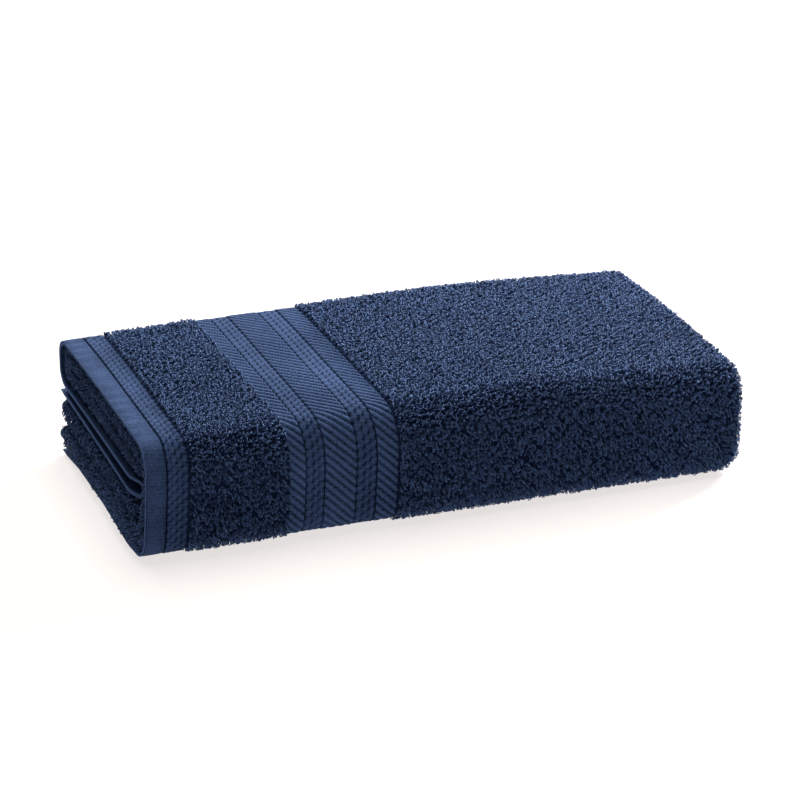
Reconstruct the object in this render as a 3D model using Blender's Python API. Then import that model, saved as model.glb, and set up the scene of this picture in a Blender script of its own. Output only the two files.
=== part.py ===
"""A hand towel of terry cloth, folded in three along its length and then in four across its width.

Metres, +Z up. X runs along the folded towel from its hemmed end to its creased end, Y runs from
its front to its back, and the origin is on the surface that it lies on, under the middle of it.

The cloth is one closed ribbon. Its section along X goes back and forth in three plies, with a hem
at each end. That section is carried along the fold across the width: along the bottom, up round
the front, back along the top, down round the upper half of the back, forward along the middle,
round the tuck inside the front, and back again.
"""

from collections import namedtuple

import bpy
import numpy as np

MM = 0.001

# The folded towel
LENGTH = 265 * MM
DEPTH = 131.5 * MM
HEIGHT = 54.5 * MM

# The cloth: its thickness with the pile, and how far apart its plies lie
PILE_CLOTH = 3.4 * MM
PLY_PITCH = 4.6 * MM
PLIES = 3
STACK = (PLIES - 1) * PLY_PITCH + PILE_CLOTH
STACK_AT_FRONT = 9.2 * MM
PANEL_GAP = 0.8 * MM
NEST_GAP = 0.6 * MM
PINCHED = 0.4 * MM

# Where the last ply's hem ends along X
INNER_HEM = 257 * MM

# The bands of the cloth, from either of its two hems: where each ends and how thick it is
Band = namedtuple("Band", "name end thick")
BANDS = (
    Band("hem", 9.5 * MM, 2.2 * MM),
    Band("ribs", 18.6 * MM, 1.8 * MM),
    Band("short pile field", 59 * MM, PILE_CLOTH),
    Band("woven border", 106 * MM, 2.0 * MM),
)
BAND_STEP = 0.9 * MM
LONGEST_RUN = 24 * MM

# The heights of the panels' faces in the middle of the stack
UPPER_MIDDLE = (HEIGHT + PANEL_GAP) / 2
LOWER_MIDDLE = (HEIGHT - PANEL_GAP) / 2
TOP_INSIDE = HEIGHT - STACK
HEEL_INSIDE = UPPER_MIDDLE + STACK
FLOOR_INSIDE = LOWER_MIDDLE - STACK

# The back turn, and how far short of the back each selvedge ends
BACK_INSIDE = DEPTH - STACK
UNDER_SELVEDGE = DEPTH - 5 * MM
INNER_SELVEDGE = DEPTH - 2 * MM

# The tuck inside the front: where its two faces lie, its radii and how far it opens each way
TUCK = 2 * STACK_AT_FRONT + NEST_GAP
TUCK_FAR = TUCK - STACK_AT_FRONT
TUCK_R = 2.4 * MM
TUCK_FAR_R = 4.0 * MM
TUCK_TOP = UPPER_MIDDLE + 2.2 * MM
TUCK_FLOOR = LOWER_MIDDLE - 2.2 * MM

# The corners of the fold across the width, from the selvedge underneath to the one inside. The
# outer guide is the hemmed ply's outer face and the inner guide is the last ply's far face, in Y
# and Z with a radius each. Crease is where the inner plies' crease lies along X there.
Corner = namedtuple("Corner", "name outer_y outer_z outer_r inner_y inner_z inner_r crease arc_steps")
CORNERS = (
    Corner("selvedge below", UNDER_SELVEDGE, 0, 0, UNDER_SELVEDGE, STACK, 0, -3.5 * MM, 0),
    Corner("front foot", 0, 0, 10 * MM, STACK_AT_FRONT, STACK, 3 * MM, -3 * MM, 4),
    Corner("front shoulder", 0, HEIGHT, 12 * MM, STACK_AT_FRONT, TOP_INSIDE, 5 * MM, 2 * MM, 5),
    Corner("back shoulder", DEPTH, HEIGHT, 10 * MM, BACK_INSIDE, TOP_INSIDE, PINCHED, 2 * MM, 4),
    Corner("back heel", DEPTH, UPPER_MIDDLE, 9 * MM, BACK_INSIDE, HEEL_INSIDE, PINCHED, 2 * MM, 4),
    Corner("tuck above", TUCK, TUCK_TOP, TUCK_R, TUCK_FAR, HEEL_INSIDE, TUCK_FAR_R, 3 * MM, 3),
    Corner("tuck below", TUCK, TUCK_FLOOR, TUCK_R, TUCK_FAR, FLOOR_INSIDE, TUCK_FAR_R, 1 * MM, 3),
    Corner("selvedge inside", INNER_SELVEDGE, LOWER_MIDDLE, 0, INNER_SELVEDGE, FLOOR_INSIDE, 0, -1 * MM, 0),
)
RUN_STEPS = (5, 1, 5, 1, 5, 1, 5)
ARC_STEPS = 5

# How the folded towel departs from straight, because the pile and the folds give way. The drop
# starts and is whole at these shares of the length.
END_DROP = 5.8 * MM
DROP_FROM = 0.62
DROP_TO = 1.05
CROWN = 1.0 * MM
MIDDLE_RISE = 4.0 * MM
FOOT_TUCK = 8.0 * MM
HEM_SKEW = 2.7 * MM
CREASE_REACH = 45 * MM

NAVY = (0.020, 0.036, 0.110, 1.0)


def clear_scene():
    """Remove what the scene holds, so that the towel is alone in it."""
    for old in list(bpy.data.objects):
        bpy.data.objects.remove(old, do_unlink=True)


def cloth_material():
    material = bpy.data.materials.new("navy_terry")
    material.use_nodes = True
    shader = material.node_tree.nodes["Principled BSDF"]
    shader.inputs["Base Color"].default_value = NAVY
    shader.inputs["Roughness"].default_value = 0.95
    shader.inputs["Metallic"].default_value = 0.0
    return material


def smooth_step(low, high, value):
    """0 below low, 1 above high, and a smooth rise between them."""
    share = np.clip((value - low) / (high - low), 0, 1)
    return share * share * (3 - 2 * share)


def band_thickness(from_hem):
    """The cloth's thickness at a distance from the nearer hem."""
    for band in BANDS:
        if from_hem <= band.end:
            return band.thick
    return PILE_CLOTH


def stops_along(start, end, hem_at):
    """Places along one ply, close together where a band of the cloth ends and wide apart between."""
    step = BAND_STEP / 2
    marks = {start, end}
    if hem_at is not None:
        away = 1 if hem_at == min(start, end) else -1
        for band in BANDS:
            edge = hem_at + away * band.end
            marks |= {edge - step, edge + step}
    marks = sorted(marks)
    stops = [marks[0]]
    for left, right in zip(marks, marks[1:]):
        count = max(1, round((right - left) / LONGEST_RUN))
        stops += [left + (right - left) * k / count for k in range(1, count + 1)]
    return stops if end > start else stops[::-1]


def ply_section():
    """The middle line of the three plies as (x, depth in the stack, thickness) and its normals.

    The line runs from the outer hem to the far crease, back to the near crease and out again to
    the inner hem. Each crease is half a circle whose diameter is one ply pitch.
    """
    radius = PLY_PITCH / 2
    first = PILE_CLOTH / 2
    far_crease = LENGTH - radius - PILE_CLOTH / 2
    near_crease = radius + PILE_CLOTH / 2
    rows = []
    for x in stops_along(0.0, far_crease, 0.0):
        rows.append((x, first, band_thickness(x), 0.0, -1.0))
    for k in range(1, ARC_STEPS):
        turn = np.pi * k / ARC_STEPS
        x = far_crease + radius * np.sin(turn)
        rows.append((x, first + radius * (1 - np.cos(turn)), PILE_CLOTH, np.sin(turn), -np.cos(turn)))
    for x in stops_along(far_crease, near_crease, None):
        rows.append((x, first + PLY_PITCH, PILE_CLOTH, 0.0, 1.0))
    for k in range(1, ARC_STEPS):
        turn = np.pi * k / ARC_STEPS
        x = near_crease - radius * np.sin(turn)
        depth = first + PLY_PITCH + radius * (1 - np.cos(turn))
        rows.append((x, depth, PILE_CLOTH, np.sin(turn), np.cos(turn)))
    for x in stops_along(near_crease, INNER_HEM, INNER_HEM):
        rows.append((x, first + 2 * PLY_PITCH, band_thickness(INNER_HEM - x), 0.0, -1.0))
    return np.array(rows)


def guide(ys, zs, radii, values):
    """A line through the corners with each corner rounded, and a value carried along it.

    Both guides get the same number of points, so that the cloth can be laid between them.
    """
    corners = np.stack([ys, zs], axis=1)
    starts, ends = corners.copy(), corners.copy()
    for k in range(1, len(corners) - 1):
        into = corners[k] - corners[k - 1]
        out = corners[k + 1] - corners[k]
        into, out = into / np.linalg.norm(into), out / np.linalg.norm(out)
        reach = radii[k] * np.tan(np.arccos(np.clip(into @ out, -1, 1)) / 2)
        starts[k] = corners[k] - into * reach
        ends[k] = corners[k] + out * reach
    points, carried = [corners[0]], [values[0]]
    for k in range(1, len(corners)):
        for share in np.linspace(0, 1, RUN_STEPS[k - 1] + 1)[1:]:
            points.append(ends[k - 1] + share * (starts[k] - ends[k - 1]))
            carried.append(values[k - 1] + share * (values[k] - values[k - 1]))
        for step in range(1, CORNERS[k].arc_steps + 1):
            share = step / CORNERS[k].arc_steps
            points.append(arc_point(starts[k], corners[k] - starts[k], ends[k] - corners[k], radii[k], share))
            carried.append(values[k])
    return np.array(points), np.array(carried)


def arc_point(start, into, out, radius, share):
    """The point at a share of the arc that leaves start along into and ends along out."""
    along = into / np.linalg.norm(into)
    final = out / np.linalg.norm(out)
    turn = np.arccos(np.clip(along @ final, -1, 1)) * share
    side = final - along * (along @ final)
    side = side / np.linalg.norm(side)
    return start + radius * (along * np.sin(turn) + side * (1 - np.cos(turn)))


def settle(points):
    """Bend the neat folded towel as it lies.

    It drops towards the creased end, rises a little along its middle, its front is drawn in at
    the foot near the hems, and the hemmed end is slightly askew. Half way up, where the halves of
    the stack meet, it lies higher at the back than at the front.
    """
    x, y, z = points.T
    along = x / LENGTH
    across = y / DEPTH
    high = z / HEIGHT
    drop = END_DROP * smooth_step(DROP_FROM, DROP_TO, along)
    crown = CROWN * np.sin(np.pi * np.clip(across, 0, 1))
    tuck = FOOT_TUCK * (1 - along) * np.clip(1 - high, 0, 1) ** 2 * (1 - across) ** 2
    skew = HEM_SKEW * (1 - along) * across
    rise = MIDDLE_RISE * across * np.clip(1 - np.abs(2 * high - 1), 0, 1)
    return np.stack([x + skew, y + tuck, z + (crown - drop) * high + rise], axis=1)


def towel_mesh():
    """The ribbon's two faces at every station of the fold, joined into one closed mesh."""
    x, depth, thick, normal_x, normal_depth = ply_section().T
    face_x = np.concatenate([x + normal_x * thick / 2, (x - normal_x * thick / 2)[::-1]])
    face_depth = np.concatenate([depth + normal_depth * thick / 2, (depth - normal_depth * thick / 2)[::-1]])
    share = (face_depth / STACK)[:, None]
    inner_ply = np.concatenate([depth, depth[::-1]]) > PILE_CLOTH
    shifts = inner_ply * (1 - smooth_step(0, CREASE_REACH, face_x))

    table = np.array([corner[1:8] for corner in CORNERS], float)
    outer, crease = guide(table[:, 0], table[:, 1], table[:, 2], table[:, 6])
    inner, _ = guide(table[:, 3], table[:, 4], table[:, 5], table[:, 6])

    rings = []
    for at_outer, at_inner, crease_x in zip(outer, inner, crease):
        yz = at_outer + share * (at_inner - at_outer)
        rings.append(np.column_stack([face_x + shifts * crease_x, yz]))
    points = settle(np.concatenate(rings)) - [LENGTH / 2, DEPTH / 2, 0]

    around = len(face_x)
    half = around // 2
    faces = []
    for ring in range(len(rings) - 1):
        here, there = ring * around, (ring + 1) * around
        for k in range(around):
            after = (k + 1) % around
            faces.append((here + k, here + after, there + after, there + k))
    last = (len(rings) - 1) * around
    for k in range(half - 1):
        mate = around - 1 - k
        faces.append((k, mate, mate - 1, k + 1))
        faces.append((last + k, last + k + 1, last + mate - 1, last + mate))

    mesh = bpy.data.meshes.new("towel")
    mesh.from_pydata(points.tolist(), [], faces)
    mesh.validate()
    mesh.update()
    return mesh


def add_towel():
    towel = bpy.data.objects.new("towel", towel_mesh())
    towel.data.materials.append(cloth_material())
    bpy.context.scene.collection.objects.link(towel)
    return towel


clear_scene()
add_towel()
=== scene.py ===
# %% [markdown]
# # A folded hand towel
#
# The towel is one length of terry cloth. It is folded in three plies along its length and in four
# panels across its width. This lesson lays a fine sheet along the same folds as the solid, adds
# the hem and the border as raised weave, and plants the loops of the pile as small yarn arches.

from collections import namedtuple

import bpy
import numpy as np
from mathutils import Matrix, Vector


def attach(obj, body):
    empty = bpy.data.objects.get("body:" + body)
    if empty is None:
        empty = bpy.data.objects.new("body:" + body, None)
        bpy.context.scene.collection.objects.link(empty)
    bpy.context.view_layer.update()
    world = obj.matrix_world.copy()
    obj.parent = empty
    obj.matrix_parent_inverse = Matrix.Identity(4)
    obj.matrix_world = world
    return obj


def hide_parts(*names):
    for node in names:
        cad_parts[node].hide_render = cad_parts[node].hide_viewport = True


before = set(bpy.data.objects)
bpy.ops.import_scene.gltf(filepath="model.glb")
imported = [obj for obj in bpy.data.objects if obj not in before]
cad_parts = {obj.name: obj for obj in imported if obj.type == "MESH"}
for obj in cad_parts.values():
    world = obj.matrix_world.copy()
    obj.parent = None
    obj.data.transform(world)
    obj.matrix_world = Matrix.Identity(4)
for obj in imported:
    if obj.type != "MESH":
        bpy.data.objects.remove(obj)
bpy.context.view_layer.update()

MM = 0.001
draw = np.random.default_rng(7)

# %% [markdown]
# ## The fold
#
# A folded towel is a stack of plies that turns its corners together. It could be draped by
# simulation, but neat folding is done by hand, so the fold is drawn: two guides, one along the
# outer face of the stack and one along its inner face, each a line with rounded corners. Any
# place in the cloth is then a walk along the guides and a depth between them.

# %% Named sizes of the fold
LENGTH, DEPTH, HEIGHT = 265 * MM, 131.5 * MM, 54.5 * MM
PILE_CLOTH, PLY_PITCH = 3.4 * MM, 4.6 * MM
STACK = 2 * PLY_PITCH + PILE_CLOTH
FRONT_STACK = 9.2 * MM
PANEL_GAP, NEST_GAP = 0.8 * MM, 0.6 * MM
UPPER_MIDDLE, LOWER_MIDDLE = (HEIGHT + PANEL_GAP) / 2, (HEIGHT - PANEL_GAP) / 2
TOP_INSIDE, HEEL_INSIDE, FLOOR_INSIDE = HEIGHT - STACK, UPPER_MIDDLE + STACK, LOWER_MIDDLE - STACK
BACK_INSIDE = DEPTH - STACK
UNDER_SELVEDGE, INNER_SELVEDGE = DEPTH - 5 * MM, DEPTH - 2 * MM
TUCK = 2 * FRONT_STACK + NEST_GAP
TUCK_FAR = TUCK - FRONT_STACK
TUCK_TOP, TUCK_FLOOR = UPPER_MIDDLE + 1.4 * MM, LOWER_MIDDLE - 1.4 * MM

Corner = namedtuple("Corner", "name outer_y outer_z outer_r inner_y inner_z inner_r crease")
CORNERS = (
    Corner("selvedge below", UNDER_SELVEDGE, 0, 0, UNDER_SELVEDGE, STACK, 0, -2.5 * MM),
    Corner("front foot", 0, 0, 10 * MM, FRONT_STACK, STACK, 3 * MM, -2 * MM),
    Corner("front shoulder", 0, HEIGHT, 12 * MM, FRONT_STACK, TOP_INSIDE, 5 * MM, 1.5 * MM),
    Corner("back shoulder", DEPTH, HEIGHT, 10 * MM, BACK_INSIDE, TOP_INSIDE, 0.4 * MM, 1.5 * MM),
    Corner("back heel", DEPTH, UPPER_MIDDLE, 9 * MM, BACK_INSIDE, HEEL_INSIDE, 0.4 * MM, 1.5 * MM),
    Corner("tuck above", TUCK, TUCK_TOP, 1.6 * MM, TUCK_FAR, HEEL_INSIDE, 4 * MM, 2 * MM),
    Corner("tuck below", TUCK, TUCK_FLOOR, 1.6 * MM, TUCK_FAR, FLOOR_INSIDE, 4 * MM, 0.5 * MM),
    Corner("selvedge inside", INNER_SELVEDGE, LOWER_MIDDLE, 0, INNER_SELVEDGE, FLOOR_INSIDE, 0,
           -1.5 * MM),
)
GUIDE_STEPS = 40

# %% [markdown]
# The front and the back of the folded towel are soft turns and not edges, so each guide is a line
# whose corners are arcs. A Bezier curve would do too, but with arcs the radius is known: it is the
# stack's thickness that bends. The walk is measured along the middle of the outer ply, which keeps
# its length when the stack is bent.

# %% The two guides
def smooth_step(low, high, value):
    """0 below low, 1 above high, and 3 s^2 - 2 s^3 of the share s between them."""
    share = np.clip((value - low) / (high - low), 0, 1)
    return share * share * (3 - 2 * share)


def rounded_line(ys, zs, radii):
    """A line through the corners, each an arc: start + r (along sin a + side (1 - cos a)).

    Straight parts and arcs follow each other, and each has GUIDE_STEPS steps.
    """
    corners = np.stack([ys, zs], axis=1)
    last = len(corners) - 1
    directions = np.diff(corners, axis=0)
    directions = directions / np.linalg.norm(directions, axis=1, keepdims=True)
    points, stop = [corners[:1]], corners[0]
    for k in range(1, last + 1):
        reach = 0.0
        if k < last:
            turn = np.arccos(np.clip(directions[k - 1] @ directions[k], -1, 1))
            reach = radii[k] * np.tan(turn / 2)
        start = corners[k] - directions[k - 1] * reach
        share = np.linspace(0, 1, GUIDE_STEPS + 1)[1:, None]
        points.append(stop + share * (start - stop))
        if k < last:
            side = directions[k] - directions[k - 1] * (directions[k - 1] @ directions[k])
            side = side / np.linalg.norm(side)
            angle = turn * share
            bend = directions[k - 1] * np.sin(angle) + side * (1 - np.cos(angle))
            points.append(start + radii[k] * bend)
            stop = points[-1][-1]
    return np.concatenate(points)


table = np.array([corner[1:] for corner in CORNERS], float)
OUTER = rounded_line(table[:, 0], table[:, 1], table[:, 2])
INNER = rounded_line(table[:, 3], table[:, 4], table[:, 5])
HEM_PLY_MIDDLE = OUTER + (INNER - OUTER) * PILE_CLOTH / 2 / STACK
WALK = np.concatenate([[0], np.cumsum(np.linalg.norm(np.diff(HEM_PLY_MIDDLE, axis=0), axis=1))])
WIDTH = WALK[-1]
PARTS = ("under foot front shoulder top back_shoulder back heel "
         "middle_above tuck_above tuck tuck_below middle_below").split()
PART_ENDS = dict(zip(PARTS, WALK[GUIDE_STEPS::GUIDE_STEPS]))
PART_STARTS = dict(zip(PARTS, WALK[:-1:GUIDE_STEPS]))
CORNER_WALKS = [0, *[PART_STARTS[part] for part in PARTS[1::2]], WIDTH]
CREASE_AT_CORNER = table[:, 6]
print("the cloth is", round(WIDTH / MM), "mm wide along its hem ply")


# %% [markdown]
# ## How the folded towel settles
#
# A real folded towel isn't square. The thick pile gives way at the creased end, the foot of the
# front is drawn in, and the long faces wander by about a millimetre. The same soft bend as in the
# solid is a formula on all points at once, so the pile, the hem and the border follow it together.

# %% The settled shape
END_DROP, CROWN, MIDDLE_RISE = 5.8 * MM, 1.0 * MM, 4.0 * MM
DROP_FROM, DROP_TO = 0.62, 1.05
FOOT_TUCK, HEM_SKEW, CREASE_REACH = 8.0 * MM, 2.7 * MM, 45 * MM
FRONT_LEAN, LEAN_FULL, LEAN_LEAVES = 2 * MM, 75 * MM, 110 * MM
FOOT_IN, FOOT_FROM, FOOT_FADE = 4 * MM, 0.85, 6
HEM_PULL, HEM_PULL_HALF, EDGE_REACH = 4 * MM, 6 * MM, 30 * MM

Wave = namedtuple("Wave", "per_x per_walk start size")
WANDER = 0.25 * MM
WANDERING = (Wave(31, 17, 1, 1), Wave(-23, 57, 0, 1), Wave(83, 71, 0, 0.6))
PUCKER, PUCKER_STEP, PUCKER_REACH = 0.2 * MM, 9 * MM, 8 * MM
PUCKER_DRIFT = Wave(0, 90, 0, 2)
LIFT_FULL, TOP_FROM = 0.3, 0.6
FOOT_EASE, FRONT_EASE = 6 * MM, 10 * MM

Edge = namedtuple("Edge", "walk pull")
UNDER_EDGE = (Edge(0 * MM, -1 * MM), Edge(20 * MM, 0.4 * MM), Edge(60 * MM, 0.4 * MM),
              Edge(104 * MM, -1 * MM), Edge(120 * MM, 0 * MM))


def under_pull(walk):
    """How far the end of the cloth is drawn in on the underside: straight lines between a few walks."""
    return np.interp(walk, [edge.walk for edge in UNDER_EDGE], [edge.pull for edge in UNDER_EDGE])


def settle(x, y, z):
    """The solid's bend: a drop and a crown that grow with height, a foot drawn in near the hem, a
    hem that is a little askew, and a middle that rises towards the back."""
    along, across, high = x / LENGTH, y / DEPTH, z / HEIGHT
    drop = END_DROP * smooth_step(DROP_FROM, DROP_TO, along)
    crown = CROWN * np.sin(np.pi * np.clip(across, 0, 1))
    tuck = FOOT_TUCK * (1 - along) * np.clip(1 - high, 0, 1) ** 2 * (1 - across) ** 2
    skew = HEM_SKEW * (1 - along) * across
    rise = MIDDLE_RISE * across * np.clip(1 - np.abs(2 * high - 1), 0, 1)
    points = [x + skew - LENGTH / 2, y + tuck - DEPTH / 2, z + (crown - drop) * high + rise]
    return np.stack(points, axis=-1)


def wave_at(wave, x, walk):
    """One slow sine over the cloth: size sin(per_x x + per_walk walk + start)."""
    return wave.size * np.sin(wave.per_x * x + wave.per_walk * walk + wave.start)


TUCK_MIDDLE = (PART_STARTS["tuck"] + PART_ENDS["tuck"]) / 2


def lay(x, walk, depth):
    """Where a place of the cloth lies: outer + depth / stack (inner - outer) at its walk, then settled.

    The place also wanders in and out by a sum of slow sines, less the deeper it is and not at all
    on the underside. The hem puckers where it is sewn. It is pulled in where it turns round the
    tuck and shifts a little along its edge on the underside. The bands lean towards the creased
    end on the front, and the foot of that end is drawn in.
    """
    share = depth / STACK
    y = np.interp(walk, WALK, OUTER[:, 0]) * (1 - share) + np.interp(walk, WALK, INNER[:, 0]) * share
    z = np.interp(walk, WALK, OUTER[:, 1]) * (1 - share) + np.interp(walk, WALK, INNER[:, 1]) * share
    waves = sum(wave_at(wave, x, walk) for wave in WANDERING)
    pucker = np.sin(2 * np.pi * walk / PUCKER_STEP + wave_at(PUCKER_DRIFT, x, walk))
    pucker = pucker * np.exp(-((x / PUCKER_REACH) ** 2))
    across, high = np.clip(y / DEPTH, 0, 1), z / HEIGHT
    lift = (WANDER * waves + PUCKER * pucker) * (1 - share) * smooth_step(0, LIFT_FULL, high)
    foot, shoulder = PART_STARTS["foot"], PART_STARTS["shoulder"]
    on_front = smooth_step(foot - FRONT_EASE, foot + FOOT_EASE, walk)
    on_front = on_front * (1 - smooth_step(shoulder - FRONT_EASE, PART_ENDS["shoulder"], walk))
    lean = FRONT_LEAN * on_front * smooth_step(0, LEAN_FULL, x) * (1 - smooth_step(LEAN_LEAVES, LENGTH, x))
    pull = HEM_PULL * np.exp(-(((walk - TUCK_MIDDLE) / HEM_PULL_HALF) ** 2)) + under_pull(walk)
    pull = pull * (1 - smooth_step(0, EDGE_REACH, x))
    foot_in = FOOT_IN * smooth_step(FOOT_FROM, 1, x / LENGTH) * np.clip(1 - high, 0, 1) ** FOOT_FADE
    x = x + lean + pull - foot_in
    return settle(x, y - lift * (1 - across) ** 4, z + lift * smooth_step(TOP_FROM, 1, high))


def crease_shift(x, walk):
    """How far the inner plies' crease stands back from the hem: less and less along X."""
    return np.interp(walk, CORNER_WALKS, CREASE_AT_CORNER) * (1 - smooth_step(0, CREASE_REACH, x))


def from_selvedge(walk):
    """The distance to the nearer selvedge."""
    return np.minimum(walk, WIDTH - walk)


both_ends = settle(np.array([0, LENGTH]), DEPTH / 2, HEIGHT)[:, 2] / MM
print("the top is", *np.round(both_ends, 1), "mm high at the hem and at the creased end")


# %% [markdown]
# ## Meshes from rings
#
# Cloth, hem and border are all made alike: a closed section, carried along the walk. Each is a
# grid of points in numpy, and foreach_set puts it into the mesh in one go, because a loop over a
# hundred thousand points would be slow.

# %% A mesh from a grid of rings
def mesh_from(name, points, quads, uv=None, tone=None):
    """A smooth mesh of quads, with a UV map in metres of cloth and a tone for each point."""
    mesh = bpy.data.meshes.new(name)
    mesh.vertices.add(len(points))
    mesh.vertices.foreach_set("co", points.astype(np.float32).ravel())
    mesh.loops.add(quads.size)
    mesh.loops.foreach_set("vertex_index", quads.astype(np.int32).ravel())
    mesh.polygons.add(len(quads))
    mesh.polygons.foreach_set("loop_start", np.arange(0, quads.size, 4, dtype=np.int32))
    mesh.polygons.foreach_set("use_smooth", np.ones(len(quads), bool))
    mesh.update(calc_edges=True)
    if uv is not None:
        layer = mesh.uv_layers.new(name="cloth")
        layer.data.foreach_set("uv", uv[quads.ravel()].astype(np.float32).ravel())
    if tone is not None:
        layer = mesh.attributes.new("tone", "FLOAT", "POINT")
        layer.data.foreach_set("value", tone.astype(np.float32))
    mesh.validate()
    return mesh


def rings_mesh(name, rings, uv, tone=None):
    """Quads between neighbouring closed rings, and both ends closed by a lid of quads.

    The lid pairs point k with point -1 - k of the ring.
    """
    count, around = rings.shape[:2]
    index = np.arange(count * around).reshape(count, around)
    after = np.roll(index, -1, axis=1)
    sides = np.stack([index[:-1], after[:-1], after[1:], index[1:]], axis=-1).reshape(-1, 4)
    k = np.arange(around // 2 - 1)
    mate = around - 1 - k
    first = np.stack([k, mate, mate - 1, k + 1], axis=-1)
    last = first[:, ::-1] + (count - 1) * around
    quads = np.concatenate([sides, first, last])
    tone = None if tone is None else tone.ravel()
    return mesh_from(name, rings.reshape(-1, 3), quads, uv.reshape(-1, 2), tone)


def stations(steps, usual):
    """Walks with a step for each part of the fold, from a table of steps and the usual one."""
    stops = [np.zeros(1)]
    for part, end in PART_ENDS.items():
        start = PART_STARTS[part]
        count = max(1, round((end - start) / steps.get(part, usual)))
        stops.append(np.linspace(start, end, count + 1)[1:])
    return np.concatenate(stops)


# %% [markdown]
# ## The ground cloth
#
# Under the loops of terry there is a thin woven ground. It is the sheet itself: three plies back
# and forth, with a crease at each end. On the outer face it lies low, so that the loops can stand
# on it. Between the plies, where no loops are planted, it has the full thickness of the pile. At
# the selvedges it is bare and thinner, because a loom weaves a firm edge there.

# %% The ground cloth's section and mesh
GROUND_FROM, HEM_TO, CLOSE_TO, WIDE_FROM = 0.7 * MM, 12 * MM, 18 * MM, 20 * MM
INNER_HEM, INNER_CLOSE, INNER_WIDE = 257 * MM, 248 * MM, 245 * MM
GROUND_DEPTH = 1.5 * MM
FULL_HALF = PILE_CLOTH / 2
LOW_HALF, HEM_HALF, WOVEN_HALF = FULL_HALF - GROUND_DEPTH, 0.5 * MM, 0.2 * MM
CREASE_HALF = FULL_HALF * 0.8
THIN_HALF, THICK_HALF = 0.3 * MM, 1.3 * MM
SELVEDGE_TAPER, SELVEDGE_THIN = 3 * MM, 0.35
BARE_SELVEDGE, BARE_FADE, BARE_TONE = 3 * MM, 0.7, 0.55
RIBS_END, BORDER_START, BORDER_END = 17.8 * MM, 59.5 * MM, 106.2 * MM


def thinner_at_selvedge(walks):
    """The share of the thickness that is left at each walk, as a column."""
    ends = from_selvedge(walks)[:, None]
    return SELVEDGE_THIN + (1 - SELVEDGE_THIN) * smooth_step(0, SELVEDGE_TAPER, ends)


def section_row(x, depth, normal_x, normal_depth, out_half, in_half, cloth):
    """Columns of one stretch of the section, each as long as its x."""
    columns = [x, depth, normal_x, normal_depth, out_half, in_half, cloth]
    return np.stack(np.broadcast_arrays(*columns), axis=-1)


def ground_section():
    """The middle line from the outer hem to the inner hem, with a half thickness to each side.

    Its points are close near the two hems and wide between them.
    """
    radius = PLY_PITCH / 2
    first = PILE_CLOTH / 2
    far, near = LENGTH - radius - first, radius + first
    turn = np.linspace(0, np.pi, 10)[1:-1]
    sine, cosine = np.sin(turn), np.cos(turn)

    x = np.concatenate([np.linspace(GROUND_FROM, CLOSE_TO, 12), np.linspace(WIDE_FROM, far, 45)])
    woven = (x < RIBS_END) | ((x > BORDER_START) & (x < BORDER_END))
    out_half = np.where(woven, WOVEN_HALF, LOW_HALF)
    in_half = np.where(x < HEM_TO, HEM_HALF, FULL_HALF)
    outer = section_row(x, first, 0, -1, out_half, in_half, x)

    depth = first + radius * (1 - cosine)
    cloth = far + radius * turn
    far_crease = section_row(far + radius * sine, depth, sine, -cosine, LOW_HALF, CREASE_HALF, cloth)

    x = np.linspace(far, near, 12)
    cloth = 2 * far + radius * np.pi - x
    middle = section_row(x, first + PLY_PITCH, 0, 1, FULL_HALF, FULL_HALF, cloth)

    depth = depth + PLY_PITCH
    near_crease = section_row(near - radius * sine, depth, sine, cosine, CREASE_HALF, LOW_HALF, near)

    x = np.concatenate([np.linspace(near, INNER_WIDE, 12), np.linspace(INNER_CLOSE, INNER_HEM, 4)])
    inner = section_row(x, first + 2 * PLY_PITCH, 0, -1, FULL_HALF, FULL_HALF, x)
    return np.concatenate([outer, far_crease, middle, near_crease, inner])


def ribbon(section, walks):
    """Both faces of a section at every station: its middle line plus and minus half its thickness.

    The tone is light where the cloth is bare, which is where it is thick and at the selvedges. On the thin
    outer face, where the loops stand, it is low: painted shade between the loops.
    """
    x, depth, normal_x, normal_depth, out_half, in_half, cloth = section.T
    inner_plies = (depth > PILE_CLOTH).astype(float)
    thin = thinner_at_selvedge(walks)
    selvedge = 1 - smooth_step(BARE_FADE * BARE_SELVEDGE, BARE_SELVEDGE, from_selvedge(walks)[:, None])
    sides, tones = [], []
    for sign, half in ((1, out_half), (-1, in_half)):
        face_x = x + sign * normal_x * half * thin
        face_depth = depth + sign * normal_depth * half * thin
        face_x = face_x + inner_plies * crease_shift(face_x, walks[:, None])
        sides.append(lay(face_x, walks[:, None], face_depth))
        # Painted shade: the thin face under the loops gets a low tone, and the thick and bare cloth a
        # light one.
        tones.append(BARE_TONE * np.maximum(smooth_step(THIN_HALF, THICK_HALF, half), selvedge))
    rings = np.concatenate([sides[0], sides[1][:, ::-1]], axis=1)
    tone = np.concatenate([tones[0], tones[1][:, ::-1]], axis=1)
    cloth = np.concatenate([cloth, cloth[::-1]])
    uv = np.stack(np.broadcast_arrays(cloth, walks[:, None]), axis=-1)
    return rings, uv, tone


CLOTH_STEPS = dict(foot=1.4 * MM, front=4 * MM, shoulder=1.6 * MM, top=4 * MM, back_shoulder=1.4 * MM,
                   back=2 * MM, heel=1.4 * MM, tuck_above=0.7 * MM, tuck=0.9 * MM, tuck_below=0.7 * MM)
cloth_rings, cloth_uv, cloth_tone = ribbon(ground_section(), stations(CLOTH_STEPS, 6 * MM))
cloth_mesh = rings_mesh("towel_cloth", cloth_rings, cloth_uv, cloth_tone)
print("ground cloth:", cloth_rings.shape[0], "stations of", cloth_rings.shape[1], "points")

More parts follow.
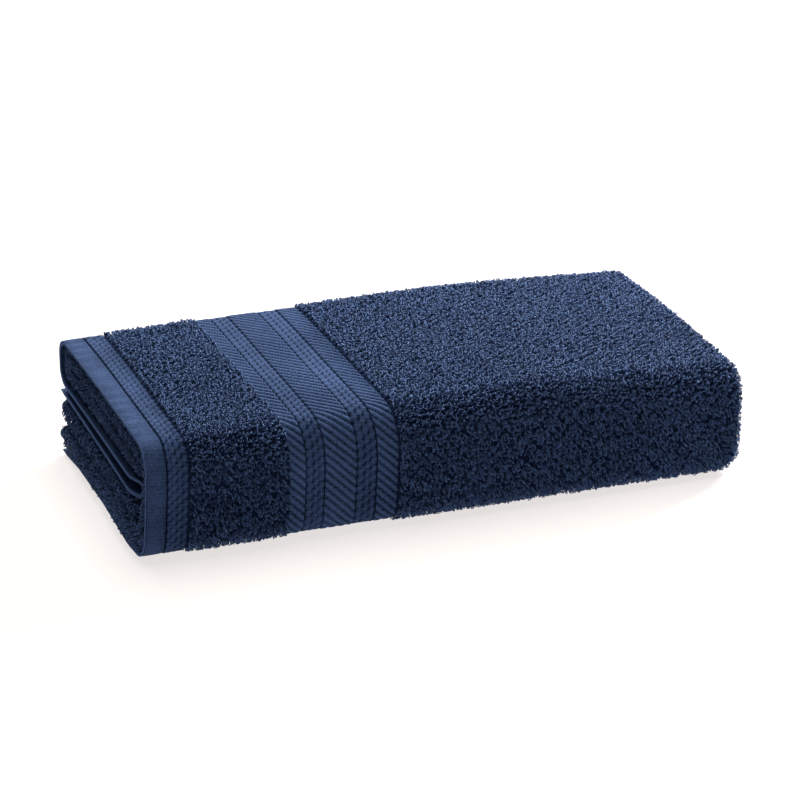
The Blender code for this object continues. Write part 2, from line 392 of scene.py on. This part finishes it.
# %% [markdown]
# ## The woven bands
#
# The hem and the border have no loops. Their threads lie flat: in twill with slanting ridges, in
# rows of small raised blocks side by side, and in thin sunk lines between them. A bump map could
# show these, but the ridges are wide enough to catch the light and to break the outline, so they
# are real relief. The depth of each point of a fine grid is a formula in its distance from the hem
# and its walk across the cloth.

# %% The relief of twill, blocks and lines
TWILL_PERIOD, BLOCK_PERIOD = 3.9 * MM, 3.9 * MM
BLOCK_SWELL, BLOCK_SLANT = 0.25 * MM, 0.43

Weave = namedtuple("Weave", "kind start end shift")
HEM_WEAVES = (
    Weave("plain", 0 * MM, 8.75 * MM, 0),
    Weave("block", 9.35 * MM, 10.9 * MM, 0),
    Weave("block", 10.9 * MM, 13.2 * MM, 0.5),
    Weave("block", 13.2 * MM, 15.5 * MM, 0),
    Weave("block", 15.5 * MM, 17.8 * MM, 0.5),
    Weave("line", 8.75 * MM, 9.35 * MM, 0),
)
BORDER_WEAVES = (
    Weave("twill", 59.5 * MM, 66.15 * MM, 0),
    Weave("block", 66.5 * MM, 69.55 * MM, 0),
    Weave("block", 69.55 * MM, 71.9 * MM, 0.5),
    Weave("block", 71.9 * MM, 74.25 * MM, 0),
    Weave("twill", 74.7 * MM, 88.0 * MM, 0),
    Weave("block", 88.35 * MM, 91.6 * MM, 0),
    Weave("block", 91.6 * MM, 94.1 * MM, 0.5),
    Weave("block", 94.1 * MM, 96.75 * MM, 0),
    Weave("twill", 97.25 * MM, 106.2 * MM, 0),
    Weave("line", 66.15 * MM, 66.5 * MM, 0),
    Weave("line", 74.25 * MM, 74.7 * MM, 0),
    Weave("line", 88.0 * MM, 88.35 * MM, 0),
    Weave("line", 96.75 * MM, 97.25 * MM, 0),
)
LINE_DEPTH = -0.5
# The bands sink towards the next field of loops, and through the tone they are also painted darker there,
# as shade from the loops.
EDGE_SINK_AND_SHADE, EDGE_SINK_AND_SHADE_REACH = 0.16, 7 * MM
WALL = 0.06 * MM
ACROSS_STEP = 0.43 * MM


def places_across(weaves):
    """Places along X: even steps inside each weave, and one on each side of every border of two."""
    stops = sorted({edge for weave in weaves for edge in (weave.start, weave.end)})
    runs = []
    for start, end in zip(stops, stops[1:]):
        count = max(2, round((end - start) / ACROSS_STEP))
        runs.append(np.linspace(start + WALL, end - WALL, count))
    return np.concatenate(runs)


def weave_height(weaves, x, walk):
    """How far the threads stand up: from 0 to 1, and less than 0 in the sunk lines. It is also the band's
    tone, so the low places get painted shade.

    Twill is a ridge 0.95 - 0.85 g^2, where g is 1 wherever (x + walk) / period is a whole number
    and 0 half way between. A row of blocks is round across, and it swells and narrows by a cosine
    of the walk that slants a little, so that the blocks of one row lie beside the necks of the next.
    All of it sinks towards the last edge, where the loops of the next field begin. Since the height is
    also the tone, this is partly a real sink and partly painted shade from the loops.
    """
    height = np.zeros(np.broadcast(x, walk).shape)
    for weave in weaves:
        slanted = walk - BLOCK_SLANT * (x - weave.start)
        beat = np.cos(2 * np.pi * (slanted / BLOCK_PERIOD + weave.shift))
        swell = BLOCK_SWELL * beat if weave.kind == "block" else 0 * walk
        start, end = weave.start - swell, weave.end + swell
        row = (x - start) / (end - start)
        half_round = np.sqrt(np.clip(1 - (2 * row - 1) ** 2, 0, 1))
        if weave.kind == "plain":
            shape = 0.3 + 0.3 * half_round
        elif weave.kind == "line":
            shape = LINE_DEPTH + 0.0 * row
        elif weave.kind == "twill":
            groove = 0.5 + 0.5 * np.cos(2 * np.pi * (x + walk) / TWILL_PERIOD)
            shape = 0.95 - 0.85 * groove ** 2
        else:
            shape = 0.08 + 0.52 * half_round + 0.22 * beat * (1.5 - half_round)
        height = np.where((row >= 0) & (row < 1), shape, height)
    last = max(weave.end for weave in weaves)
    return height - EDGE_SINK_AND_SHADE * smooth_step(last - EDGE_SINK_AND_SHADE_REACH, last, x)


print("weaves:", len(HEM_WEAVES), "side by side in the hem and", len(BORDER_WEAVES), "in the border")

# %% [markdown]
# Each band is one closed mesh: its woven face on top and a plain way back beneath it. The stations
# along the walk are close where the band shows, so that every ridge of the twill has a few points,
# and far apart between the layers, where nobody sees it.

# %% The hem and the border as raised weave
RELIEF = 0.7 * MM
FINE = 0.6 * MM
BORDER_DEPTH = 1.45 * MM
BAND_STEPS = dict(foot=FINE, front=FINE, shoulder=FINE, top=FINE, back_shoulder=FINE, back=FINE,
                  heel=1 * MM, tuck_above=0.8 * MM, tuck=0.8 * MM, tuck_below=0.8 * MM)


def band(name, walks, face_x, face_depth, heights, back_x, back_depth, back_tone):
    """A band's mesh: its woven face and a plain way back beneath it, thinner towards both selvedges."""
    face = (len(walks), len(face_x))
    back = (len(walks), len(back_x))
    all_x = np.concatenate([np.broadcast_to(face_x, face), np.broadcast_to(back_x, back)], axis=1)
    depth = np.concatenate([face_depth - RELIEF * heights, np.broadcast_to(back_depth, back)], axis=1)
    depth = PILE_CLOTH / 2 + (depth - PILE_CLOTH / 2) * thinner_at_selvedge(walks)
    rings = lay(all_x, walks[:, None], depth)
    uv = np.stack(np.broadcast_arrays(all_x, walks[:, None]), axis=-1)
    # The weave's height is also its tone, so the grooves, sunk lines and low edges get painted shade.
    tone = np.concatenate([heights, np.broadcast_to(back_tone, back)], axis=1)
    print(name, rings.shape[:2])
    return rings_mesh(name, rings, uv, tone)


def border_band():
    """The border: its face from the near terry to the far terry, and its back along the middle line."""
    walks = stations(BAND_STEPS, 8 * MM)
    x = places_across(BORDER_WEAVES)
    heights = weave_height(BORDER_WEAVES, x[None, :], walks[:, None])
    back_x = np.linspace(BORDER_END, BORDER_START, 6)
    return band("border_band", walks, x, BORDER_DEPTH, heights, back_x, PILE_CLOTH / 2 + 0.1 * MM, 0.5)


# %% [markdown]
# The hem is the end of the cloth turned over and sewn down, so its band runs round the end and a
# little way back inside. The section is one closed line: out along the face, round the end, in
# along the inside, and back through the middle of the cloth.

# %% The hem's section
HEM_OUT, HEM_IN = 1.15 * MM, 2.75 * MM
HEM_INSIDE_TO = 10.5 * MM
HEM_ROUND = 0.55 * MM
# Painted shade and highlight: the hem's inside is darker, and its rounded end lighter, most where it meets
# the faces.
INSIDE_PAINTED_SHADE, RIM_PAINTED_HIGHLIGHT = 0.35, 0.8


def hem_band():
    """The hem: woven face, the way back through the cloth's middle, a plain inside painted darker as
    shade, and a rounded end painted lighter as a highlight on the rim.
    """
    walks = stations(BAND_STEPS, 5 * MM)
    x = np.maximum(places_across(HEM_WEAVES), HEM_ROUND)
    heights = weave_height(HEM_WEAVES, x[None, :], walks[:, None])
    back_x = np.linspace(RIBS_END + 0.2 * MM, HEM_INSIDE_TO + 0.2 * MM, 4)
    inside_x = np.linspace(HEM_INSIDE_TO, HEM_ROUND, 5)
    turn = np.linspace(0, np.pi, 7)[1:-1]
    top = HEM_OUT - RELIEF * 0.75
    end_x = HEM_ROUND - HEM_ROUND * np.sin(turn)
    end_depth = (top + HEM_IN) / 2 + (HEM_IN - top) / 2 * np.cos(turn)
    plain_x = np.concatenate([back_x, inside_x, end_x])
    back_depth = np.full(len(back_x), PILE_CLOTH / 2 + 0.15 * MM)
    plain_depth = np.concatenate([back_depth, np.full(len(inside_x), HEM_IN), end_depth])
    hem_inside_shade = np.full(len(back_x) + len(inside_x), INSIDE_PAINTED_SHADE)
    plain_tone = np.concatenate([hem_inside_shade, RIM_PAINTED_HIGHLIGHT + 0.4 * np.abs(np.cos(turn))])
    return band("hem_band", walks, x, HEM_OUT, heights, plain_x, plain_depth, plain_tone)


# %% [markdown]
# ## The pile
#
# Terry is thousands of loops of soft yarn. Hair would show them, but it doesn't leave Blender as
# a mesh, and a bump alone would leave the outline smooth. So each loop is a small arch: a thin tube
# along half an ellipse. It has three sides and three steps, because there are over forty thousand
# of them, and all arches of a region are worked out as one array. The loops stand in tufts. On the
# front the tufts are loose rings; on the top, where hands have stroked them, they run together
# into slanting ridges. At the hem the loops of the inner plies are pressed back to one plane.

# %% One arch for every root
LOOP_SIDES, LOOP_STEPS = 3, 3
LOOP_HEIGHT, LOOP_WIDTH, YARN = 1.6 * MM, 0.45 * MM, 0.24 * MM
YARN_AT_FOOT, ARCH_FULLNESS = 0.55, 0.75


def frames_on(surface, u, v):
    """Points of surface(u, v), with unit vectors along u and out of the cloth, by small differences."""
    small = 0.05 * MM
    points = surface(u, v)
    along = surface(u + small, v) - points
    across = surface(u, v + small) - points
    out = np.cross(along, across)
    along = along / np.linalg.norm(along, axis=1, keepdims=True)
    out = out / np.linalg.norm(out, axis=1, keepdims=True)
    return points, along, out


def arches(points, along, out, turn, lean, size):
    """Tubes: root - w side cos(pi t) + h up sin(pi t)^0.75, with a ring of yarn round each point.

    The side is the cloth's own direction turned about its normal, and up is the normal leaned over.
    The yarn is thinnest at the two feet, where the ground cloth holds it.
    """
    cross = np.cross(out, along)
    side = along * np.cos(turn)[:, None] + cross * np.sin(turn)[:, None]
    up = out + lean
    up = up / np.linalg.norm(up, axis=1, keepdims=True)
    third = np.cross(side, up)
    third = third / np.linalg.norm(third, axis=1, keepdims=True)
    t = np.linspace(0, 1, LOOP_STEPS + 1)
    width = -np.cos(np.pi * t) * LOOP_WIDTH
    height = np.sin(np.pi * t) ** ARCH_FULLNESS * LOOP_HEIGHT
    bulge = YARN_AT_FOOT + (1 - YARN_AT_FOOT) * np.sin(np.pi * t)
    centres = (points[:, None] + size[:, None, None] * (
        side[:, None] * width[None, :, None] + up[:, None] * height[None, :, None]))
    run = np.gradient(centres, axis=1)
    run = run / np.linalg.norm(run, axis=2, keepdims=True)
    away = np.cross(third[:, None], run)
    angle = (np.arange(LOOP_SIDES) / LOOP_SIDES * 2 * np.pi)[:, None]
    yarn = (YARN * np.sqrt(size))[:, None, None, None] * bulge[:, None, None]
    ring = third[:, None, None] * np.cos(angle) + away[:, :, None] * np.sin(angle)
    return centres[:, :, None] + yarn * ring


def loops_mesh(name, tubes, tone):
    """Quads round and along every tube; tubes has the shape (loops, steps, sides, 3)."""
    count, steps, sides = tubes.shape[:3]
    index = np.arange(count * steps * sides).reshape(count, steps, sides)
    after = np.roll(index, -1, axis=2)
    quads = np.stack([index[:, :-1], after[:, :-1], after[:, 1:], index[:, 1:]], axis=-1).reshape(-1, 4)
    uv = np.zeros((count * steps * sides, 2))
    return mesh_from(name, tubes.reshape(-1, 3), quads, uv, np.repeat(tone, steps * sides))


loop_size = [round(size / MM, 2) for size in (LOOP_HEIGHT, 2 * YARN)]
print("a loop is", loop_size[0], "mm high, of yarn that is", loop_size[1], "mm thick")


# %% [markdown]
# The loops stand on three faces: the outer face of the outer ply, the creased end, and the crease
# of the inner plies, which shows behind the hem. Each face is a formula of a length across the
# cloth and a walk along it, so the same patch of tufts can be laid on any of them.

# %% Where the loops stand
CREASE_RADIUS = PLY_PITCH / 2 + PILE_CLOTH / 2 - GROUND_DEPTH
CREASE_BULGE, BULGE_FROM, BULGE_FULL = 1.7, 4 * MM, 18 * MM
CREASE_CENTRE = PLY_PITCH / 2 + PILE_CLOTH / 2


def outer_face(x, walk):
    """The ground cloth's outer face, a little sunk so that the loops' feet are in the cloth."""
    return lay(x, walk, np.full(np.shape(x), GROUND_DEPTH - 0.1 * MM))


def far_crease_face(arc, walk):
    """The creased end: x = centre + r sin a, depth = centre - r cos a, with a = arc / r."""
    angle = arc / CREASE_RADIUS
    x = LENGTH - CREASE_CENTRE + CREASE_RADIUS * np.sin(angle)
    return lay(x, walk, CREASE_CENTRE - CREASE_RADIUS * np.cos(angle))


def near_crease_face(arc, walk):
    """The inner plies' crease behind the hem: it faces the other way, and bulges between the plies.

    It doesn't bulge at the selvedges, where the loops would hang in the air.
    """
    angle = arc / CREASE_RADIUS
    x = CREASE_CENTRE - CREASE_RADIUS * np.sin(angle)
    bulge = 1 + (CREASE_BULGE - 1) * smooth_step(BULGE_FROM, BULGE_FULL, from_selvedge(walk))
    depth = CREASE_CENTRE + PLY_PITCH + bulge * CREASE_RADIUS * np.cos(angle)
    return lay(x + crease_shift(x, walk), walk, depth)


Lattice = namedtuple("Lattice", "column row loops jitter ridged")
RIDGES = Lattice(2.42 * MM, 4.0 * MM, 9, 0.1 * MM, True)
TUFTS = Lattice(2.63 * MM, 4.76 * MM, 11, 0.36 * MM, False)

Patch = namedtuple("Patch", "name surface lattice u_from u_to part_from part_to tone size droop",
                   defaults=(0.5, 1, 0))
ARC = np.pi * CREASE_RADIUS
FAR = LENGTH - CREASE_CENTRE
FIELD, FIELD_END, REST = RIBS_END + 1.0 * MM, BORDER_START - 0.2 * MM, BORDER_END + 1.1 * MM
HALF_WAY = 185 * MM
# The tone column is each patch's mean tone. It changes with where the patch lies, which is painted light
# and shade: lighter on the front, darker in the fields beside the hem on the top and front, and much
# darker in the inner crease behind the hem.
PATCHES = (
    Patch("pile_top_field", outer_face, RIDGES, FIELD, FIELD_END, "shoulder", "back_shoulder", 0.4),
    Patch("pile_front_field", outer_face, TUFTS, FIELD, FIELD_END, "foot", "front", 0.45),
    Patch("pile_top_left", outer_face, RIDGES, REST, HALF_WAY, "shoulder", "back_shoulder", 0.47),
    Patch("pile_top_right", outer_face, RIDGES, HALF_WAY, FAR, "shoulder", "back_shoulder", 0.47),
    Patch("pile_front", outer_face, TUFTS, REST, FAR, "foot", "front", 0.58),
    Patch("pile_back", outer_face, TUFTS, REST, FAR, "back", "heel"),
    Patch("pile_back_field", outer_face, TUFTS, FIELD, FIELD_END, "back", "heel"),
    Patch("pile_creased_end", far_crease_face, TUFTS, 0, ARC, "under", "middle_below"),
    Patch("pile_inner_crease", near_crease_face, TUFTS, 0, ARC, "under", "middle_below", 0.12, 1.35, 0.5),
)
print(len(PATCHES), "patches of pile, two of them round a crease of", round(CREASE_RADIUS / MM, 1), "mm")

# %% [markdown]
# A loop never stands quite straight. It turns and leans a little at random, outwards in its tuft
# and down with the nap, and away from the bands. Its yarn is lighter or darker than its
# neighbour's, because dyed cotton is uneven and each loop shows another side of the yarn. The
# tone also holds painted light and shade: each patch has a mean tone by where it lies, and on a
# ridge the crest is lighter and the flanks darker, where shade falls between the ridges.

# %% The loops of a tuft and of a patch
TUFT_RADIUS, TUFT_TWIST, TUFT_SPREAD = 1.6 * MM, 0.7, 0.3
RIDGE_TURN, RIDGE_HALF, RIDGE_SIDE, RIDGE_TWIST = 0.69, 1.4 * MM, 0.44 * MM, 0.45
RIDGE_BLUR, BLUR_PAST = 1.2, 10 * MM
NAP, LEAN_OUT, LEAN_ANY_WAY = 0.4, 0.25, 0.2
BAND_EDGES = (RIBS_END, BORDER_START, BORDER_END)
BAND_PUSH, BAND_PUSH_REACH = 0.3, 1.6 * MM
TUFT_TONE, LOOP_TONE, RIDGE_PAINTED_LIGHT, RIDGE_FLANK_PAINTED_SHADE = 0.12, 0.27, 0.15, 0.2
MIDDLE_SIZE, SIZE_FALL, SIZE_SPREAD, SMALLEST, LARGEST = 1.15, 0.2, 0.16, 0.6, 1.45
PRESSED, PRESSED_AT_SELVEDGE, PRESSED_FROM, PRESSED_FULL = 2.8 * MM, 0.3, 5 * MM, 30 * MM


def roots(lattice, columns, rows, blurred):
    """Tufts on a diamond lattice: the places of their loops, how far out each is, and its turn.

    Every other column of tufts is shifted by half a row. A plain tuft is a disc of loops that turn
    their flanks out. In a ridged pile the tufts are drawn out along slanting lines, into ridges,
    and the loops stand in line with them. The first rows, as many as blurred says, have wider
    ridges, so that they pass into the plain tufts.
    """
    counts = columns, rows, lattice.loops
    column, row, member = np.meshgrid(*[np.arange(count) for count in counts], indexing="ij")
    grid = column.shape
    jitter = draw.normal(0, lattice.jitter, (2, *grid[:2], 1))
    if lattice.ridged:
        run = RIDGE_HALF * (2 * (member + draw.random(grid)) / lattice.loops - 1)
        wide = RIDGE_SIDE * (1 + RIDGE_BLUR * (1 - smooth_step(0.3 * blurred, blurred, row)))
        side = np.clip(draw.normal(0, 1, grid), -2, 2) * wide
        off_u = run * np.cos(RIDGE_TURN) - side * np.sin(RIDGE_TURN)
        off_v = run * np.sin(RIDGE_TURN) + side * np.cos(RIDGE_TURN)
        out_angle = RIDGE_TURN + np.sign(side) * np.pi / 2
        turn = RIDGE_TURN + draw.normal(0, RIDGE_TWIST, grid)
        far_out = np.abs(side) / wide
    else:
        out_angle = 2 * np.pi * (member / lattice.loops + draw.random(grid[:2])[..., None])
        out_angle = out_angle + draw.normal(0, TUFT_SPREAD, grid)
        far_out = np.sqrt(draw.random(grid))
        off_u = TUFT_RADIUS * far_out * np.cos(out_angle)
        off_v = TUFT_RADIUS * far_out * np.sin(out_angle)
        turn = out_angle + np.pi / 2 + draw.normal(0, TUFT_TWIST, grid)
    u = (column + 0.5) * lattice.column + jitter[0] + off_u
    v = (row + 0.25 + 0.5 * (column % 2)) * lattice.row + jitter[1] + off_v
    return u, v, far_out, out_angle, turn


def plant(patch):
    """An arch on every root of the patch's lattice.

    It leans outwards in its tuft, down over the front with the nap, and a little at random. No part
    of it goes below the floor, or past the line that the loops behind the hem are pressed to.
    """
    lattice = patch.lattice
    start = max(PART_STARTS[patch.part_from], BARE_SELVEDGE)
    end = min(PART_ENDS[patch.part_to], WIDTH - BARE_SELVEDGE)
    columns = round((patch.u_to - patch.u_from) / lattice.column)
    rows = round((end - start) / lattice.row)
    blurred = (PART_ENDS["shoulder"] + BLUR_PAST - start) / lattice.row
    u, v, far_out, angle, turn = roots(lattice, columns, rows, blurred)
    u = patch.u_from + (u / (columns * lattice.column)) % 1 * (patch.u_to - patch.u_from)
    v = start + np.clip(v / (rows * lattice.row), 0, 1) * (end - start)

    tone = draw.normal(patch.tone, TUFT_TONE, (columns, rows, 1)) + draw.normal(0, LOOP_TONE, u.shape)
    # Painted light and shade: the loops on a ridge's crest are lighter, those on its flanks darker.
    if lattice.ridged:
        tone = tone + RIDGE_PAINTED_LIGHT - RIDGE_FLANK_PAINTED_SHADE * far_out
    u, v, far_out, angle, turn, tone = [values.ravel() for values in (u, v, far_out, angle, turn, tone)]

    points, along, out = frames_on(patch.surface, u, v)
    cross = np.cross(out, along)
    outward = along * np.cos(angle)[:, None] + cross * np.sin(angle)[:, None]
    any_way = draw.normal(0, LEAN_ANY_WAY, (len(u), 3))
    lean = LEAN_OUT * outward - NAP * cross + any_way - (0, 0, patch.droop)
    if patch.surface is outer_face:
        for edge in BAND_EDGES:
            push = BAND_PUSH * np.exp(-np.abs(u - edge) / BAND_PUSH_REACH)
            lean = lean + along * push[:, None]
    uneven = np.clip(draw.normal(1, SIZE_SPREAD, len(u)), SMALLEST, LARGEST)
    size = patch.size * (MIDDLE_SIZE - SIZE_FALL * far_out) * uneven

    tubes = arches(points, along, out, turn, lean, size)
    tubes[..., 2] = np.maximum(tubes[..., 2], 0)
    inside = smooth_step(PRESSED_FROM, PRESSED_FULL, from_selvedge(v))
    pressed = PRESSED * (PRESSED_AT_SELVEDGE + (1 - PRESSED_AT_SELVEDGE) * inside)
    line = (under_pull(v) - pressed)[:, None, None]
    hem_line = settle(line, tubes[..., 1] + DEPTH / 2, tubes[..., 2])[..., 0]
    tubes[..., 0] = np.maximum(tubes[..., 0], hem_line)
    mesh = loops_mesh(patch.name, tubes, np.clip(tone, 0, 1))
    print(patch.name, len(u), "loops,", 2 * len(mesh.polygons), "triangles")
    return mesh


# %% [markdown]
# ## Materials
#
# The yarn is dyed cotton: matt, with a soft sheen where it is seen at a slant. Each loop has its
# own tone, stored with its points, which holds random differences and painted light and shade.
# The woven bands are the same cotton with flat threads, so they look lighter, and their grooves
# are darkened with painted shade.

# %% Sums of sockets
class Wire:
    """An output socket that takes part in sums: an expression on wires adds its own Math nodes."""

    def __init__(self, paint, socket):
        self.paint, self.socket = paint, socket

    def sum(self, operation, first, second):
        return self.paint.node("ShaderNodeMath", {"operation": operation}, {0: first, 1: second})

    def __add__(self, other):
        return self.sum("ADD", self, other)

    def __radd__(self, other):
        return self.sum("ADD", other, self)

    def __sub__(self, other):
        return self.sum("SUBTRACT", self, other)

    def __rsub__(self, other):
        return self.sum("SUBTRACT", other, self)

    def __mul__(self, other):
        return self.sum("MULTIPLY", self, other)

    def __rmul__(self, other):
        return self.sum("MULTIPLY", other, self)


class Paint:
    """A material and its nodes. Every node but a sum comes from node()."""

    def __init__(self, name):
        self.material = bpy.data.materials.new(name)
        self.material.use_nodes = True
        self.tree = self.material.node_tree
        self.shader = self.tree.nodes["Principled BSDF"]

    def node(self, kind, settings=None, sockets=None, output=0):
        made = self.tree.nodes.new(kind)
        for key, value in (settings or {}).items():
            setattr(made, key, value)
        for key, value in (sockets or {}).items():
            self.feed(made.inputs[key], value)
        return Wire(self, made.outputs[output])

    def wave(self, turns):
        """sin(2000 pi turns): a wave, where turns is metres of cloth times turns in a millimetre."""
        return self.node("ShaderNodeMath", {"operation": "SINE"}, {0: turns * (2000 * np.pi)})

    def mixed(self, share, first, second):
        """A colour between two: first + share (second - first). Its sockets 6 and 7 are the colours."""
        sockets = {"Factor": share, 6: first, 7: second}
        return self.node("ShaderNodeMix", {"data_type": "RGBA"}, sockets, output=2)

    def feed(self, socket, value):
        if isinstance(value, Wire):
            self.tree.links.new(value.socket, socket)
        else:
            socket.default_value = value

    def set(self, **values):
        """Set or link the shader's own sockets, named with _ for a space."""
        for key, value in values.items():
            self.feed(self.shader.inputs[key.replace("_", " ")], value)

# %% [markdown]
# The yarn's colour runs from a dark to a light navy by the loop's tone, which holds random
# differences and painted light and shade, and by slow patches of the dye. The fibres are too fine
# for the mesh, so they are a bump. Sheen stands for the fuzz on the yarn, which brightens where it
# is seen at a slant.

# %% The yarn of the loops
YARN_DARK, YARN_LIGHT = (0.009, 0.022, 0.063, 1), (0.076, 0.136, 0.305, 1)
SHEEN_BLUE = (0.42, 0.55, 0.88, 1)


def yarn_material():
    """Soft yarn: the loops' tones, with random differences and painted light and shade, and slow patches
    of the dye, with fine fibres as a bump.
    """
    paint = Paint("terry_yarn")
    place = paint.node("ShaderNodeTexCoord", output="Object")
    tone = paint.node("ShaderNodeAttribute", {"attribute_name": "tone"}, output="Fac")
    drift = paint.node("ShaderNodeTexNoise", sockets={"Vector": place, "Scale": 28.0, "Detail": 3.0})
    fibre = paint.node("ShaderNodeTexNoise", sockets={"Vector": place, "Scale": 2600.0, "Detail": 2.0})
    colour = paint.mixed(tone * 0.65 + drift * 0.35, YARN_DARK, YARN_LIGHT)
    bump = paint.node("ShaderNodeBump", sockets={"Strength": 0.4, "Distance": 0.0002, "Height": fibre})
    paint.set(Base_Color=colour, Roughness=0.85, Normal=bump, Sheen_Weight=0.35, Sheen_Roughness=0.4)
    paint.set(Sheen_Tint=SHEEN_BLUE, Specular_IOR_Level=0.05)
    return paint.material

# %% [markdown]
# In the bands each thread lies flat, and the tone of a point is the height of the weave there. So
# the grooves and sunk lines are darkened with painted shade, also where the light doesn't reach them.
# The ground cloth is the same fabric, a little darker, and it is seen only between the loops and at
# the selvedges. Its tone is low on the face where the loops stand, which is painted shade there.

# %% The woven bands and the ground cloth
def woven_material(name, dark, light, sheen):
    """Flat cotton threads: light on the ridges of the weave and dark in its grooves, where the dark is
    painted shade.

    The share of light is 0.9 tone, more or less by slow patches, by specks and by the threads. The
    threads are two waves, 0.61 turns in each millimetre along the walk and 1.1 across it.
    """
    paint = Paint(name)
    cloth = paint.node("ShaderNodeUVMap", {"uv_map": "cloth"})
    across = paint.node("ShaderNodeSeparateXYZ", sockets={"Vector": cloth}, output="X")
    along = paint.node("ShaderNodeSeparateXYZ", sockets={"Vector": cloth}, output="Y")
    tone = paint.node("ShaderNodeAttribute", {"attribute_name": "tone"}, output="Fac")
    place = paint.node("ShaderNodeTexCoord", output="Object")
    drift = paint.node("ShaderNodeTexNoise", sockets={"Vector": place, "Scale": 45.0, "Detail": 4.0})
    speck = paint.node("ShaderNodeTexNoise", sockets={"Vector": place, "Scale": 1100.0, "Detail": 2.0})
    threads = paint.wave(across * 0.07 + along * 0.61) * 0.5 + paint.wave(across * 1.1) * 0.5
    share = tone * 0.9 + (drift - 0.5) * 0.6 + (speck - 0.5) * 0.9 + threads * (1.1 - tone) * 0.2
    colour = paint.mixed(share, dark, light)
    height = threads * 0.3 + speck
    bump = paint.node("ShaderNodeBump", sockets={"Strength": 0.5, "Distance": 0.0003, "Height": height})
    paint.set(Base_Color=colour, Roughness=0.8, Normal=bump, Sheen_Weight=sheen, Sheen_Roughness=0.35)
    paint.set(Sheen_Tint=SHEEN_BLUE, Specular_IOR_Level=0.0)
    return paint.material


WEAVE_DARK, WEAVE_LIGHT = (0.003, 0.007, 0.020, 1), (0.050, 0.083, 0.181, 1)
# The ground cloth's dark end is what shows between the loops, as painted shade.
GROUND_DARK, GROUND_LIGHT = (0.004, 0.008, 0.024, 1), (0.045, 0.075, 0.165, 1)

yarn = yarn_material()
weave_cloth = woven_material("woven_cotton", WEAVE_DARK, WEAVE_LIGHT, 0.12)
ground_cloth = woven_material("ground_weave", GROUND_DARK, GROUND_LIGHT, 0.08)
print("materials:", [material.name for material in (yarn, weave_cloth, ground_cloth)])


# %% [markdown]
# ## The towel's pieces
#
# The pieces are joined in one cloth on the real towel, so all of them ride on its one body. The
# ground cloth stands for the solid, and the rest goes with it.

# %% Put the towel together
def shown(mesh, material):
    """An object of the mesh, at the origin, that rides on the towel's one body."""
    piece = bpy.data.objects.new(mesh.name, mesh)
    bpy.context.scene.collection.objects.link(piece)
    piece.data.materials.append(material)
    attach(piece, "root")
    return piece


towel = shown(cloth_mesh, ground_cloth)
hem = shown(hem_band(), weave_cloth)
border = shown(border_band(), weave_cloth)
piles = [shown(plant(patch), yarn) for patch in PATCHES]
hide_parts("towel")
triangles = {piece.name: 2 * len(piece.data.polygons) for piece in [towel, hem, border, *piles]}
print(triangles, "in all", sum(triangles.values()), "triangles")

# %% [markdown]
# ## Floor, light and camera
#
# The photograph is a catalogue picture: the floor runs white into the background, and only a faint
# warm shadow shows under the towel. A floor lit by lamps alone would make the towel too bright, so
# the pale floor also glows, as a light table does. One large soft light hangs above and a little
# behind, so that the top is bright and the front is dim, and a small one stands low at the back on
# the right, so that it grazes the top and brings out the weave. The camera stands far off with a
# long lens.

# %% The floor and the lights
floor_mesh = bpy.data.meshes.new("floor")
floor_mesh.from_pydata([(-8, -8, 0), (8, -8, 0), (8, 8, 0), (-8, 8, 0)], [], [(0, 1, 2, 3)])
floor = bpy.data.objects.new("floor", floor_mesh)
bpy.context.scene.collection.objects.link(floor)
floor_paint = Paint("pale_floor")
floor_paint.set(Base_Color=(0.27, 0.27, 0.27, 1), Roughness=0.7, Specular_IOR_Level=0.1)
floor_paint.set(Emission_Color=(1.0, 0.955, 0.935, 1), Emission_Strength=0.745)
floor.data.materials.append(floor_paint.material)


def area_light(name, place, aim, width, depth, power, colour):
    """A soft light of that width and depth in metres, turned so that its face looks at the aim."""
    light = bpy.data.lights.new(name, "AREA")
    light.shape, light.size, light.size_y = "RECTANGLE", width, depth
    light.energy, light.color = power, colour
    lamp = bpy.data.objects.new(name, light)
    bpy.context.scene.collection.objects.link(lamp)
    lamp.location = place
    towards = Vector(aim) - Vector(place)
    lamp.rotation_euler = towards.to_track_quat("-Z", "Y").to_euler()
    print(name, "light:", power, "watts from", round(towards.length, 2), "m")


area_light("overhead", place=(0.1, 0.36, 1.9), aim=(0, 0, 0), width=1.2, depth=1.8, power=51,
           colour=(1.0, 0.94, 0.86))
area_light("side", place=(0.78, 0.42, 0.42), aim=(0, 0, 0.03), width=0.35, depth=0.35, power=38,
           colour=(1.0, 0.94, 0.88))

world = bpy.data.worlds.new("studio")
bpy.context.scene.world = world
world.use_nodes = True
sky = world.node_tree.nodes["Background"]
sky.inputs["Color"].default_value = (0.85, 0.93, 1.0, 1)
sky.inputs["Strength"].default_value = 0.15

# %% [markdown]
# The camera's place and turn come from fitting the folded towel's edges to the photograph. Its
# lens is a guess, but a long one, because far edges look nearly as long there as near ones.

# %% The camera
CAMERA_PLACE = (-0.5149, -1.3146, 0.6329)
YAW, PITCH = np.radians(21.451), np.radians(23.159)
SENSOR, LENS = 36, 162

camera_data = bpy.data.cameras.new("camera")
camera_data.lens, camera_data.sensor_width = LENS, SENSOR
camera_data.clip_start, camera_data.clip_end = 0.05, 50
camera = bpy.data.objects.new("camera", camera_data)
bpy.context.scene.collection.objects.link(camera)
camera.location = CAMERA_PLACE
camera.rotation_euler = (np.pi / 2 - PITCH, 0, -YAW)
bpy.context.scene.camera = camera
bpy.context.scene.view_settings.view_transform = "Standard"
print("the camera stands", round(Vector(CAMERA_PLACE).length, 2), "m off with a lens of", LENS, "mm")
